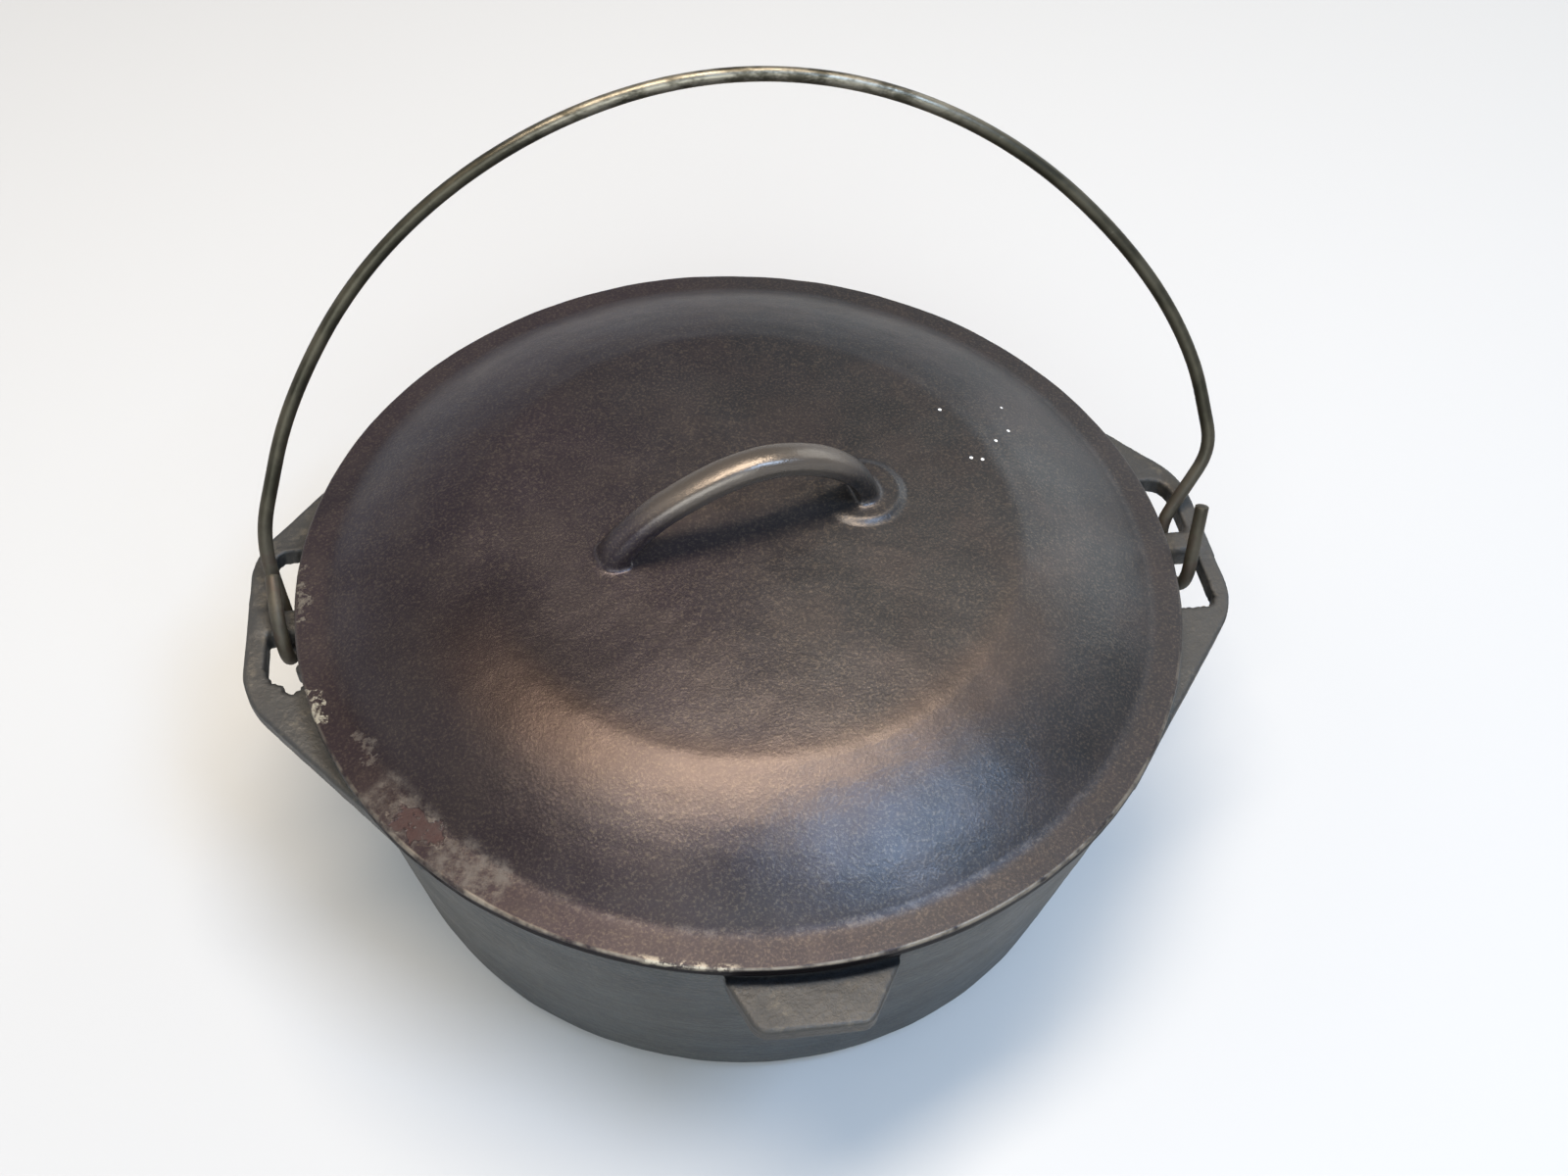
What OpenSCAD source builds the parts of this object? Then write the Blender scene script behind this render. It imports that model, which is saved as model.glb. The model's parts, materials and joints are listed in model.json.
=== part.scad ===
// Cast iron dutch oven: a kettle with two slotted ears and a tilting tab, a domed lid with a cast loop
// handle, and a steel wire bail whose hooked ends turn on the bridges of the ears.
// Millimetres. The origin is the centre of the flat base, +Z is up, +X points to the right ear
// and -Y points to the tab.

/* [Kettle] */
// Height from the base to the flat rim
pot_h = 95; // [92:0.5:98]
// Outer radius of the wall at the rim
rim_r = 128.5; // [126:0.5:129]
// Outer radius that the tapered wall has at the base
base_r = 116.5; // [112:0.5:118]
// Outer radius of the corner between base and wall
base_corner_r = 8; // [5:0.5:12]
// Thickness of the wall
wall_t = 4.5; // [4:0.25:4.75]
// Thickness of the floor
floor_t = 5; // [4:0.25:6]

/* [Ears] */
// Height of the upper face of the ears
lug_top = 90; // [89:0.5:91]
// Thickness of the ears and their bridges
lug_t = 6; // [5:0.25:6]
// Distance from the middle of the kettle to the outer edge of an ear
ear_reach = 146.5; // [146:0.5:150]
// Radius of the two outer corners of an ear
ear_corner_r = 28; // [20:1:30]
// Distance from the middle of the kettle to the outer edge of the ear openings
slot_out = 140.5; // [140.5:0.25:141]
// Half of the length of the pair of openings in one ear
slot_half = 26; // [26:0.5:27]
// Width of the bridge between the two openings
bridge_w = 9.2; // [8.6:0.1:9.6]
// Distance of the hinge axis, in the middle of the bridges, below the upper face of the ears
bridge_drop = 4; // [3.8:0.1:4.2]

/* [Tab] */
// Distance from the middle of the kettle to the front edge of the tab
tab_reach = 143; // [140:0.5:145]
// Width of the tab where it leaves the wall
tab_base_w = 44; // [40:1:48]
// Width across the front edge of the tab, before its corners are rounded
tab_end_w = 29; // [27:0.5:32]
// Radius of the two front corners of the tab
tab_corner_r = 8; // [6:0.5:9]
// Height of the upper face of the tab
tab_top = 92; // [91.5:0.5:92.5]
// Thickness of the tab
tab_t = 6; // [5:0.25:6]

/* [Lid] */
// Radius of the lid
lid_r = 130; // [129:0.5:130]
// Thickness of the edge of the lid
lid_edge_t = 4; // [3.5:0.25:4.5]
// Thickness of the rest of the lid, measured upright
lid_t = 4; // [3.5:0.25:4.5]
// Radius where the narrow flange ends and the flank begins
flange_r = 122; // [120:0.5:123]
// Radius of the shoulder between the flank and the top
shoulder_r = 79; // [76:0.5:82]
// Rise of the shoulder above the flange
shoulder_rise = 15.5; // [14:0.5:17]
// Rise of the middle of the lid above the shoulder
crown_rise = 2; // [1.5:0.5:3]
// Radius at the middle of the bulging flank
flank_r = 100; // [98:0.5:102]
// Fall from the shoulder to the middle of the flank
flank_fall = 3.5; // [3:0.5:5]
// Depth of the locating lip inside the mouth of the kettle
lip_depth = 4; // [3:0.5:4]
// How far the lid has slid to the left in the play of its lip
lid_slide = 1.2; // [0:0.1:1.2]

/* [Lid handle] */
// Half of the distance between the feet of the handle
handle_half = 40; // [38:0.5:42]
// Height of the middle line of the handle above the middle of the lid
handle_rise = 24; // [22:0.5:27]
// Width of the handle bar
handle_w = 10.5; // [9:0.5:12]
// Thickness of the handle bar
handle_t = 6; // [5:0.5:7]
// Direction of the handle, turned from the axis through the ears
handle_turn = 12.5; // [0:0.5:20]

/* [Bail] */
// Diameter of the bail wire
wire_d = 4.2; // [3.8:0.1:4.2]
// Radius of the arc of the bail
bail_r = 146.5; // [146:0.5:147.5]
// Sideways offset of the arc from the middle of the kettle
bail_shift = 6; // [5.5:0.5:6.5]
// Height of the centre of the arc above the hinge axis
bail_lift = 0.5; // [0:0.5:1]
// Backward lean of the bail where it stands at rest
bail_lean = 30; // [28:1:30]

/* [Hidden] */
eps = 0.01;
$fn = 96;

pivot_z = lug_top - bridge_drop;        // height of the hinge axis
ear_flat_half = 26;                     // half length of the straight outer edge before rounding
flange_fall = 0.6;                      // fall of the flange towards its outer edge
lid_top = pot_h + lid_edge_t;           // upper outer corner of the lid
shoulder_z = lid_top + shoulder_rise;
crown_z = shoulder_z + crown_rise;
hook_gap = 8;                           // distance of the wire's rear leg from the hinge axis
arc_end_right = 15;                     // angles on the bail's arc where its legs begin
arc_end_left = 160;
joint_gap = 0.1;                        // gap inside each joint of the wire

// Vectors in two dimensions
function unit(v) = v / norm(v);
function turn_angle(a, b) = acos(max(-1, min(1, a * b)));
function cross2(a, b) = a[0] * b[1] - a[1] * b[0];

// Where a corner of an outline is rounded: its two tangent points, and the centre of its arc
function into(p, i) = unit(p[i] - p[(i + len(p) - 1) % len(p)]);
function out_of(p, i) = unit(p[(i + 1) % len(p)] - p[i]);
function reach(p, r, i) = r[i] * tan(turn_angle(into(p, i), out_of(p, i)) / 2);
function tangents(p, r, i) = r[i] == 0
    ? [p[i]]
    : [p[i] - into(p, i) * reach(p, r, i), p[i] + out_of(p, i) * reach(p, r, i)];
function side(p, i) = sign(cross2(into(p, i), out_of(p, i)));
function arc_centre(p, r, i) = let (d = into(p, i), t = tangents(p, r, i)[0])
    t + side(p, i) * r[i] * [-d[1], d[0]];

// An outline with points p, anticlockwise, whose corner i is rounded with radius r[i]
module rounded(p, r) {
    difference() {
        union() {
            polygon([for (i = [0:len(p) - 1]) each tangents(p, r, i)]);
            for (i = [0:len(p) - 1])
                if (r[i] > 0 && side(p, i) > 0)
                    translate(arc_centre(p, r, i)) circle(r[i]);
        }
        for (i = [0:len(p) - 1])
            if (r[i] > 0 && side(p, i) < 0)
                translate(arc_centre(p, r, i)) circle(r[i]);
    }
}

// Wall radii, which grow evenly from the base to the rim
function wall_r(z) = base_r + (rim_r - base_r) * z / pot_h;

module bowl(grow, z0, z1, corner_r) {
    rotate_extrude()
        rounded(
            [[0, z0], [wall_r(z0) + grow, z0], [wall_r(z1) + grow, z1], [0, z1]],
            [0, corner_r, 0, 0]);
}

// Outline of the right ear: its slanting sides leave the rim as tangents
module ear_outline() {
    tangent_turn = acos(rim_r / norm([ear_reach, ear_flat_half])) + atan(ear_flat_half / ear_reach);
    foot = [rim_r * cos(tangent_turn), rim_r * sin(tangent_turn)];
    rounded(
        [[0, -foot[1]], [foot[0], -foot[1]], [ear_reach, -ear_flat_half],
         [ear_reach, ear_flat_half], foot, [0, foot[1]]],
        [0, 0, ear_corner_r, ear_corner_r, 0, 0]);
}

// Outline of the opening in the ear, which runs up to the wall of the kettle
module slot_outline() {
    rounded(
        [[wall_r(0), -slot_half], [slot_out, -slot_half], [slot_out, slot_half],
         [wall_r(0), slot_half]],
        [0, 4, 4, 0]);
}

// The round bridge, worn flush with the upper face of the ear, that the hook of the bail turns on
module bridge() {
    from = rim_r - wall_t;
    difference() {
        translate([from, 0, pivot_z]) rotate([0, 90, 0])
            cylinder(d = bridge_w, h = slot_out + 2.5 - from);
        translate([from - 1, -bridge_w, lug_top]) cube([30, 2 * bridge_w, bridge_w]);
    }
}

module ear() {
    translate([0, 0, lug_top - lug_t])
        linear_extrude(lug_t)
            difference() {
                ear_outline();
                slot_outline();
            }
    bridge();
}

module tab() {
    translate([0, 0, tab_top - tab_t])
        linear_extrude(tab_t)
            rounded(
                [[-tab_base_w / 2, -rim_r + wall_t], [-tab_base_w / 2, -rim_r + 1],
                 [-tab_end_w / 2, -tab_reach], [tab_end_w / 2, -tab_reach],
                 [tab_base_w / 2, -rim_r + 1], [tab_base_w / 2, -rim_r + wall_t]],
                [0, 0, tab_corner_r, tab_corner_r, 0, 0]);
}

module pot() {
    color("#35302c")
        difference() {
            union() {
                bowl(0, 0, pot_h, base_corner_r);
                ear();
                mirror([1, 0, 0]) ear();
                tab();
            }
            bowl(-wall_t, floor_t, pot_h + 1, base_corner_r);
        }
}

// Lid without its handle: flange, flank, shoulder and top, with the locating lip below
module lid_shell() {
    below = 60;
    lip_out = rim_r - wall_t - 1.5;
    lip_foot = lip_out - 2.5;
    lip_t = 3.5;
    flank_in = flange_r - 4;
    rotate_extrude() {
        difference() {
            intersection() {
                rounded(
                    [[0, pot_h - below], [lid_r, pot_h - below], [lid_r, lid_top],
                     [flange_r, lid_top + flange_fall], [flank_r, shoulder_z - flank_fall],
                     [shoulder_r, shoulder_z], [0, crown_z]],
                    [0, 0, 1.2, 10, 90, 25, 0]);
                translate([0, pot_h]) square([lid_r + 1, below]);
            }
            rounded(
                [[0, pot_h - below], [flank_in, pot_h - below], [flank_in, pot_h],
                 [flank_r - 2, shoulder_z - flank_fall - lid_t],
                 [shoulder_r - 1, shoulder_z - lid_t], [0, crown_z - lid_t]],
                [0, 0, 0, 80, 20, 0]);
        }
        rounded(
            [[lip_foot - lip_t, pot_h - lip_depth], [lip_foot, pot_h - lip_depth],
             [lip_out, pot_h], [lip_out, pot_h + 1.5], [flank_in + 1, pot_h + 1.5]],
            [0.8, 0.8, 0, 0, 0]);
    }
}

// Loop handle: an arc of a flat, rounded bar that stands with both feet in the top of the lid
module lid_handle() {
    foot_z = crown_z - 3;
    rise = crown_z + handle_rise - foot_z;
    arc_r = (handle_half * handle_half + rise * rise) / (2 * rise);
    half_turn = asin(handle_half / arc_r);
    edge_r = handle_t * 0.4;
    rotate([0, 0, handle_turn])
        translate([0, 0, crown_z + handle_rise - arc_r])
            rotate([90, 0, 0])
                rotate([0, 0, 90 - half_turn])
                    rotate_extrude(angle = 2 * half_turn)
                        translate([arc_r, 0])
                            rounded(
                                [[-handle_t / 2, -handle_w / 2], [handle_t / 2, -handle_w / 2],
                                 [handle_t / 2, handle_w / 2], [-handle_t / 2, handle_w / 2]],
                                [1, edge_r, edge_r, 1]);
}

// Low pads round the feet of the handle
module handle_pads() {
    pad_r = 8.5;
    for (s = [-1, 1])
        rotate([0, 0, handle_turn])
            translate([s * (handle_half - 1), 0, shoulder_z - 1])
                cylinder(r1 = pad_r + 2, r2 = pad_r - 2, h = crown_rise + 1.5);
}

module lid() {
    color("#3a302c") translate([-lid_slide, 0, 0]) {
        lid_shell();
        lid_handle();
        handle_pads();
    }
}

// A matrix that lays the X and Y directions along the unit vectors u and v, with its origin at o
function placed(u, v, o) = let (w = cross(u, v))
    [[u[0], v[0], w[0], o[0]], [u[1], v[1], w[1], o[1]], [u[2], v[2], w[2], o[2]], [0, 0, 0, 1]];

// A straight stretch of wire, which stops just short of the joints at its ends
module straight_wire(a, b) {
    along = unit(b - a);
    helper = abs(along[2]) < 0.9 ? [0, 0, 1] : [0, 1, 0];
    across = unit(cross(helper, along));
    multmatrix(placed(across, cross(along, across), a + along * joint_gap))
        cylinder(d = wire_d, h = norm(b - a) - 2 * joint_gap);
}

// The joint between two stretches of wire
module joint(at) {
    translate(at) sphere(d = wire_d + 0.1, $fn = 48);
}

// The bend at corner i of a wire that runs through the points p, with bend radius r[i]
module wire_bend(p, r, i) {
    from = into(p, i);
    to = out_of(p, i);
    bend = turn_angle(from, to);
    inward = unit(to - from * (from * to));
    ends = tangents(p, r, i);
    multmatrix(placed(-inward, from, ends[0] + inward * r[i]))
        rotate_extrude(angle = bend) translate([r[i], 0]) circle(d = wire_d);
    joint(ends[0]);
    joint(ends[1]);
}

// Wire through the points p, bent with radius r[i] at the corner i
module bent_wire(p, r) {
    last = len(p) - 1;
    for (i = [0:last - 1])
        straight_wire(
            i == 0 ? p[0] : tangents(p, r, i)[1],
            i + 1 == last ? p[last] : tangents(p, r, i + 1)[0]);
    for (i = [1:last - 1])
        wire_bend(p, r, i);
    joint(p[0]);
}

function on_arc(a) = [bail_shift + bail_r * cos(a), hook_gap, bail_lift + bail_r * sin(a)];

// The bail in its own upright frame: its hinge axis is the X axis, and its hooks open to the front
module upright_bail() {
    translate([bail_shift, hook_gap, bail_lift])
        rotate([90, 0, 0])
            rotate([0, 0, arc_end_right])
                rotate_extrude(angle = arc_end_left - arc_end_right)
                    translate([bail_r, 0]) circle(d = wire_d);
    // the right leg steps inwards to its hook, whose cut end stands up in front of the bridge
    bent_wire(
        [on_arc(arc_end_right), [149.9, hook_gap, 29.5], [135, hook_gap, 6.5],
         [134.6, hook_gap, -9.5], [134.6, -13, -9.5], [137.4, -15.1, 18.6]],
        [0, 16, 12, 7.5, 8, 0]);
    // the left leg runs almost straight down, and its hook closes over the bridge
    bent_wire(
        [on_arc(arc_end_left), [-140.6, hook_gap, 25], [-135.3, hook_gap, -8.5],
         [-135.2, -9.4, -8.5], [-136.4, -7.4, 7], [-137.4, 0.5, 16]],
        [0, 45, 7, 7, 9, 0]);
}

module bail() {
    color("#4a4538")
        translate([0, 0, pivot_z]) rotate([-bail_lean, 0, 0]) upright_bail();
}

pot();
lid();
bail();
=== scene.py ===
"""Looks of a cast iron dutch oven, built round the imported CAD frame.

Lengths are in millimetres until a mesh is made, and every place is worked out from the frame's boxes and
from the hinge in its record. The castings are lathe-turned bodies joined to lugs and a handle, which are
meshed from distance functions so that they flow into the body through cast fillets. The bail is a wire
swept along a bent path.
"""

import json
import math

import bpy
import numpy as np
from mathutils import Matrix, Vector, noise


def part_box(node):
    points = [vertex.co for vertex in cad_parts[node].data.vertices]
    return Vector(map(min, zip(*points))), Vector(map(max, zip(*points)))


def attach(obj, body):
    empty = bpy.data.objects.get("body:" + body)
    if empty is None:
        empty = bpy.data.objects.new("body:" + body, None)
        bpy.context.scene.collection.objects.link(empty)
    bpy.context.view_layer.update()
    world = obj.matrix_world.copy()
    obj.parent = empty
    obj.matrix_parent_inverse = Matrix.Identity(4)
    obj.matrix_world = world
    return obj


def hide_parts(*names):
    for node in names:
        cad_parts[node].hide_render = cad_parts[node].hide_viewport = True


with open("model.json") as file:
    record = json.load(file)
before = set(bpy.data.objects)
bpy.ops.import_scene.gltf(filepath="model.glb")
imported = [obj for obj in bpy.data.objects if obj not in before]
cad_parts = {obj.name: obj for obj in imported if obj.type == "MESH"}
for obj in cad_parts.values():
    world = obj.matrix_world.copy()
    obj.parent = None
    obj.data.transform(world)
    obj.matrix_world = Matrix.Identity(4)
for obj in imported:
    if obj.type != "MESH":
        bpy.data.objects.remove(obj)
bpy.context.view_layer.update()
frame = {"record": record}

MM = 0.001


def mm_box(node):
    """Corners of a CAD node's box in millimetres."""
    lo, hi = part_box(node)
    return np.array(lo) / MM, np.array(hi) / MM


# ---------------------------------------------------------------- sizes taken from the frame
pot_lo, pot_hi = mm_box("pot")
lid_lo, lid_hi = mm_box("lid")
hinge = next(j for j in frame["record"]["behaviour"]["joints"] if j["name"] == "bail_swing")
PIVOT_Z = hinge["pos_m"][2] / MM

SKIN = 0.25                      # how far the castings stay inside the CAD box, as room for their roughness
POT_H = pot_hi[2]
RIM_R = pot_hi[1] - SKIN
EAR_REACH = pot_hi[0] - SKIN
TAB_REACH = -pot_lo[1] - SKIN
LID_R = (lid_hi[0] - lid_lo[0]) / 2 - SKIN
LID_X = (lid_hi[0] + lid_lo[0]) / 2         # the lid has slid a little to the left in its seat
LIP_Z = lid_lo[2]
HANDLE_TOP = lid_hi[2] - SKIN

# ---------------------------------------------------------------- sizes of the looks
BASE_R = 116.3                   # wall radius that the taper has at the base
WALL = 4.5
FLOOR = 5.0
LUG_TOP = PIVOT_Z + 4.0          # upper face of the ears
TAB_TOP = LUG_TOP + 2.0          # upper face of the tab
LUG_T = 6.0                      # thickness of the ears and the tab
ROOT = 3.2                       # how deep the ears and the tab are rooted in the wall
SEAT_GAP = 0.12                  # play between the rim and the lid that lies on it
LID_EDGE = 4.1                   # thickness of the lid's edge
CREASE_R, CREASE_Z = 122.0, POT_H + 4.9    # where the flange meets the flank of the lid
FLANK_R, FLANK_Z = 100.0, POT_H + 16.6     # middle of the flank
SHOULDER_R = 79.5                # where the flat top turns down into the flank
CROWN_Z = POT_H + 21.5           # middle of the top
TOP_FALL = 1.0                   # fall of the top from its middle to the shoulder
SLOT_IN, SLOT_OUT = 118.0, 140.4     # inner and outer side of the openings in the ears
SLOT_END = 26.0                  # how far the openings reach to the front and to the back
BRIDGE_X = 132.0                 # middle of the bridges that the bail's hooks turn on
HANDLE_TURN = math.radians(12.5)     # how far the handle is turned from the line through the ears
WIRE_R = 2.08
LUG_STEP, HANDLE_STEP = 0.75, 0.7    # spacing of the points on the ears and the tab, and on the handle
ARC_STEP = 0.35                  # finest spacing of the points round a corner of an outline
BAIL_LEAN = math.radians(30)


# ---------------------------------------------------------------- outlines
def rounded(points, radii, line_step=None):
    """Points of an outline whose corners are rounded. line_step, if given, cuts its straight sides too."""
    points = [np.array(p, float) for p in points]
    out = []
    for i, p in enumerate(points):
        r = radii[i]
        if r == 0:
            out.append(p)
            continue
        a = p - points[i - 1]
        b = points[(i + 1) % len(points)] - p
        a /= np.linalg.norm(a)
        b /= np.linalg.norm(b)
        turn = math.atan2(a[0] * b[1] - a[1] * b[0], float(a @ b))
        start = p - a * r * math.tan(abs(turn) / 2)
        centre = start + np.array([-a[1], a[0]]) * r * math.copysign(1, turn)
        steps = max(3, int(abs(turn) / math.radians(8)), int(r * abs(turn) / max(ARC_STEP, r * 0.06)))
        for k in range(steps + 1):
            t = turn * k / steps
            c, s = math.cos(t), math.sin(t)
            d = start - centre
            out.append(centre + np.array([c * d[0] - s * d[1], s * d[0] + c * d[1]]))
    if line_step is None:
        return np.array(out)
    fine = []
    for i, p in enumerate(out):
        q = out[(i + 1) % len(out)]
        n = max(1, int(np.linalg.norm(q - p) / line_step))
        fine += [p + (q - p) * k / n for k in range(n)]
    return np.array(fine)


def outline_distance(points, xy):
    """Signed distance of the places xy from a closed outline, below zero inside it."""
    best = np.full(len(xy), 1e18)
    inside = np.zeros(len(xy), bool)
    for a, b in zip(points, np.roll(points, -1, axis=0)):
        ab = b - a
        if ab @ ab < 1e-12:
            continue
        t = np.clip(((xy - a) @ ab) / (ab @ ab), 0, 1)
        gap = xy - a - t[:, None] * ab
        best = np.minimum(best, np.einsum("ij,ij->i", gap, gap))
        crosses = (a[1] > xy[:, 1]) != (b[1] > xy[:, 1])
        if ab[1] != 0:
            inside ^= crosses & (xy[:, 0] < a[0] + (xy[:, 1] - a[1]) * ab[0] / ab[1])
    return np.where(inside, -1, 1) * np.sqrt(best)


def blend_min(a, b, k):
    """The lesser of two distances, with a fillet of about k mm where they meet."""
    h = np.maximum(k - np.abs(a - b), 0) / k
    return np.minimum(a, b) - h * h * k / 4


def blend_max(a, b, k):
    return -blend_min(-a, -b, k)


def slab(flat, z, z0, z1, edge):
    """Distance from a plate. flat is the distance in its plane, and edge the radius of its edges."""
    dz = np.abs(z - (z0 + z1) / 2) - (z1 - z0) / 2 + edge
    df = flat + edge
    return np.minimum(np.maximum(df, dz), 0) + np.hypot(np.maximum(df, 0), np.maximum(dz, 0)) - edge


# ---------------------------------------------------------------- meshes
def new_object(name, verts, faces):
    mesh = bpy.data.meshes.new(name)
    mesh.from_pydata((np.asarray(verts) * MM).tolist(), [], [tuple(int(i) for i in f) for f in faces])
    mesh.validate()
    mesh.polygons.foreach_set("use_smooth", [True] * len(mesh.polygons))
    obj = bpy.data.objects.new(name, mesh)
    bpy.context.collection.objects.link(obj)
    return obj


def lathe(name, profile, segments):
    """Closed solid turned about Z. The profile (radius, z) runs from the axis to the axis, outside first."""
    turn = np.linspace(0, 2 * math.pi, segments, endpoint=False)
    verts = [(0, 0, profile[0][1])]
    for r, z in profile[1:-1]:
        verts += [(r * c, r * s, z) for c, s in zip(np.cos(turn), np.sin(turn))]
    verts.append((0, 0, profile[-1][1]))
    rings = len(profile) - 2
    faces = []
    for j in range(segments):
        k = (j + 1) % segments
        faces.append((0, 1 + k, 1 + j))
        for i in range(rings - 1):
            a, b = 1 + i * segments, 1 + (i + 1) * segments
            faces.append((a + j, a + k, b + k, b + j))
        a = 1 + (rings - 1) * segments
        faces.append((a + j, a + k, len(verts) - 1))
    return new_object(name, verts, faces)


def surface_mesh(name, distance, lo, hi, step):
    """Closed quad mesh of the surface where a distance function is zero, with its points set on it."""
    lo, hi = np.array(lo, float), np.array(hi, float)
    n = np.ceil((hi - lo) / step).astype(int) + 1
    grid = np.stack(np.meshgrid(*[lo[i] + step * np.arange(n[i]) for i in range(3)], indexing="ij"), -1)
    # every fourth place first; the places between are worked out only near the surface
    coarse = [np.minimum(4 * np.arange(-(-m // 4) + 1), m - 1) for m in n]
    rough = distance(grid[np.ix_(*coarse)].reshape(-1, 3)).reshape([len(c) for c in coarse])
    nearest = [np.minimum(np.round(np.arange(m) / 4).astype(int), len(c) - 1) for m, c in zip(n, coarse)]
    d = rough[np.ix_(*nearest)]
    near = np.abs(d) < 5 * step
    d[near] = distance(grid[near])
    solid = d < 0
    count = sum(
        solid[a : n[0] - 1 + a, b : n[1] - 1 + b, c : n[2] - 1 + c].astype(int)
        for a in (0, 1) for b in (0, 1) for c in (0, 1)
    )
    cells = np.argwhere((count > 0) & (count < 8))
    index = np.full(n - 1, -1)
    index[tuple(cells.T)] = np.arange(len(cells))

    total, hits = np.zeros((len(cells), 3)), np.zeros(len(cells))
    corners = [np.array([a, b, c]) for a in (0, 1) for b in (0, 1) for c in (0, 1)]
    for p in corners:
        for axis in range(3):
            if p[axis]:
                continue
            q = p + np.eye(3, dtype=int)[axis]
            dp, dq = d[tuple((cells + p).T)], d[tuple((cells + q).T)]
            cut = (dp < 0) != (dq < 0)
            t = np.where(cut, dp / np.where(cut, dp - dq, 1), 0)
            total += np.where(cut[:, None], p + t[:, None] * (q - p), 0)
            hits += cut
    verts = lo + step * (cells + total / hits[:, None])

    faces = []
    for k in range(3):
        i, j = (k + 1) % 3, (k + 2) % 3
        low, high = [slice(None)] * 3, [slice(None)] * 3
        low[k], high[k] = slice(0, -1), slice(1, None)
        p = np.argwhere(solid[tuple(low)] != solid[tuple(high)])
        p = p[(p[:, i] > 0) & (p[:, j] > 0) & (p[:, i] < n[i] - 1) & (p[:, j] < n[j] - 1)]
        ei, ej = np.eye(3, dtype=int)[i], np.eye(3, dtype=int)[j]
        quad = np.stack([index[tuple((p - s).T)] for s in (0 * ei, ei, ei + ej, ej)], 1)
        outward = solid[tuple(p.T)]
        faces.append(np.where(outward[:, None], quad, quad[:, ::-1]))
    faces = np.concatenate(faces)

    edges = np.concatenate([faces[:, [a, (a + 1) % 4]] for a in range(4)])
    degree = np.bincount(edges[:, 0], minlength=len(verts)) + np.bincount(edges[:, 1], minlength=len(verts))

    def settle(verts, rounds):
        probe = 0.05
        for _ in range(rounds):
            here = distance(verts)
            slope = np.stack([distance(verts + probe * e) - here for e in np.eye(3)], 1) / probe
            verts = verts - slope * (here / np.maximum((slope**2).sum(1), 0.25))[:, None]
        return verts

    for _ in range(3):
        neighbours = np.stack([
            np.bincount(edges[:, 0], verts[edges[:, 1], c], len(verts))
            + np.bincount(edges[:, 1], verts[edges[:, 0], c], len(verts)) for c in range(3)], 1)
        verts = settle(0.5 * verts + 0.5 * neighbours / degree[:, None], 1)
    return new_object(name, settle(verts, 2), faces)


def unite(body, *parts):
    """Joins closed parts to a body with exact unions, and gives the body the result."""
    for part in parts:
        mod = body.modifiers.new("join", "BOOLEAN")
        mod.operation, mod.solver, mod.object = "UNION", "EXACT", part
    mesh = bpy.data.meshes.new_from_object(body.evaluated_get(bpy.context.evaluated_depsgraph_get()))
    body.modifiers.clear()
    body.data = mesh
    mesh.name = body.name
    mesh.polygons.foreach_set("use_smooth", [True] * len(mesh.polygons))
    for part in parts:
        bpy.data.objects.remove(part)


def roughen(obj, layers, hold):
    """Moves every point along its normal by smooth noise, as in a sand casting.

    layers holds (depth in mm, size in mm, offset of the pattern); hold scales the depth at a place in mm."""
    mesh = obj.data
    normals = np.empty(len(mesh.vertices) * 3)
    mesh.vertices.foreach_get("normal", normals)
    normals = normals.reshape(-1, 3)
    co = np.empty(len(mesh.vertices) * 3)
    mesh.vertices.foreach_get("co", co)
    co = co.reshape(-1, 3)
    for v, (p, m) in enumerate(zip(co / MM, normals)):
        depth = sum(
            d * noise.noise(Vector(((p[0] + o) / s, (p[1] - o) / s, (p[2] + o) / s))) for d, s, o in layers)
        co[v] += m * depth * hold(*p) * MM
    mesh.vertices.foreach_set("co", co.ravel())
    mesh.update()


# ---------------------------------------------------------------- the pot
def wall_r(z):
    return BASE_R + (RIM_R - BASE_R) * z / POT_H


def wall_distance(p):
    """Distance from a cone a little inside the wall's face, so that the lugs end within the wall."""
    skin, slope = 0.12, 0.992
    return (np.hypot(p[:, 0], p[:, 1]) - wall_r(p[:, 2]) + skin) * slope


def pot_profile():
    rim_z = POT_H - SEAT_GAP
    outline = rounded(
        [(0, SKIN), (BASE_R, SKIN), (wall_r(rim_z), rim_z), (wall_r(rim_z) - WALL, rim_z),
         (BASE_R - WALL + 0.7, FLOOR), (0, FLOOR)],
        [0, 8, 1.0, 0.9, 9, 0], line_step=2.6)
    last = next(i for i, p in enumerate(outline) if i > 10 and p[0] == 0)
    return outline[: last + 1]


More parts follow.
